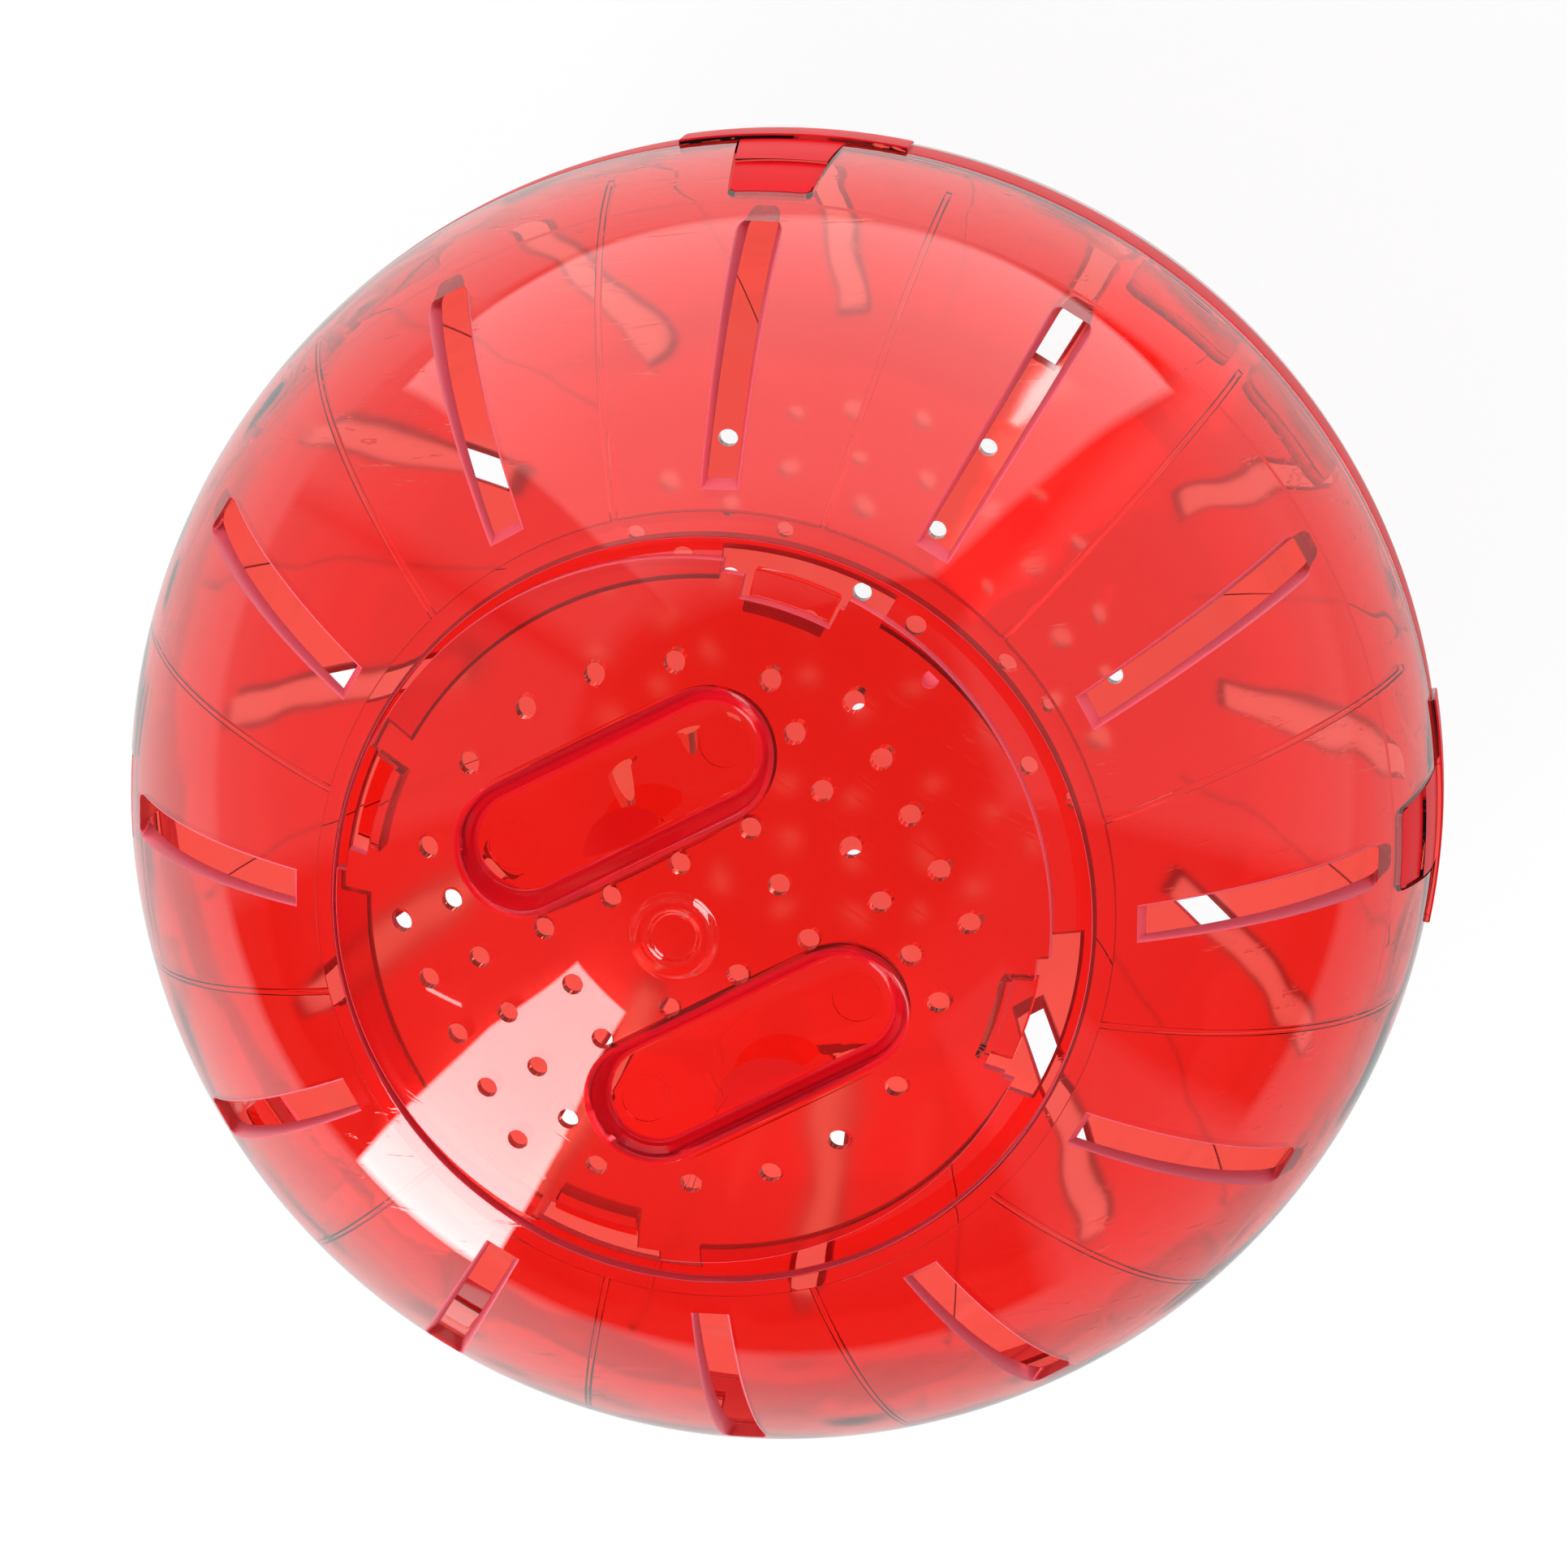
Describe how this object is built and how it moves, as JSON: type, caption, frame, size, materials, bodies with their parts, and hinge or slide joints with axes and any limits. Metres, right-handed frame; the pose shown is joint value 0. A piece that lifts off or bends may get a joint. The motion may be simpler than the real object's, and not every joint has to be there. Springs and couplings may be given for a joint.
{
  "type": "hamster exercise ball",
  "caption": "Hollow see-through rolling ball for a small pet: two slotted half shells that clip together and a round hooked door with finger pockets.",
  "frame": {"origin": "centre of the ball, on the door's axis in the plane of the seam", "axes": "+Z along the door's axis, out of the door; +X along the middle of one of the slots"},
  "size_m": [0.18, 0.18, 0.18],
  "materials": {
    "shell": "clear red moulded polystyrene, polished, lightly scratched",
    "door": "clear red moulded polystyrene, polished, lightly scratched"
  },
  "bodies": {
    "rear_half": {"rear_half": "shell"},
    "front_half": {"front_half": "shell"},
    "door": {"door": "door"}
  },
  "joints": [
    {"name": "front_half_pull", "type": "slide", "parent": "rear_half", "child": "front_half", "axis": [0, 0, 1], "range_m": [0, 0.05]},
    {"name": "door_lift", "type": "slide", "parent": "front_half", "child": "door", "axis": [0, 0, 1], "range_m": [0, 0.045]}
  ]
}
